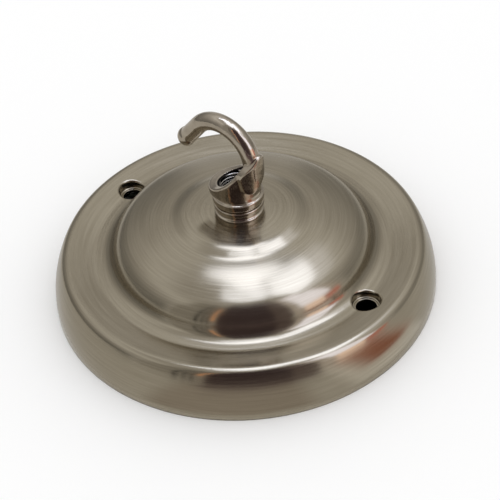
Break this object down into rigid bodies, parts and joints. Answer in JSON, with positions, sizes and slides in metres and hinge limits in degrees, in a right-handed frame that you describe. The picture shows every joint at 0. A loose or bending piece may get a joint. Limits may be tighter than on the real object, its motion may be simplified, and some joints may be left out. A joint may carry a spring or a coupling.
{
  "type": "light fixture ceiling canopy",
  "caption": "Stepped round ceiling plate with two cupped screw holes and a cast cord hook on a hollow threaded nipple.",
  "frame": {"origin": "centre of the rim's plane, which lies against the ceiling; the part stands here on its rim", "axes": "+Z from the ceiling plane to the hook, along the plate's axis; +X from the axis through one fixing hole on the side of the hook's lug, with the arm bending over towards -X"},
  "size_m": [0.108, 0.108, 0.0545],
  "materials": {
    "satin_nickel_sheet": "pressed steel sheet, brushed round its axis, satin nickel plate, lacquered",
    "bright_nickel_casting": "cast metal, tumbled, bright nickel plate",
    "zinc_plated_tube": "threaded steel tube, bright zinc plate",
    "zinc_plated_spring_steel": "stamped spring steel, zinc plate",
    "zinc_plated_nut": "pressed steel nut, zinc plate"
  },
  "bodies": {
    "root": {"canopy": "satin_nickel_sheet", "hook": "bright_nickel_casting", "threaded_nipple": "zinc_plated_tube", "lock_washer": "zinc_plated_spring_steel", "lock_nut": "zinc_plated_nut"}
  },
  "joints": []
}
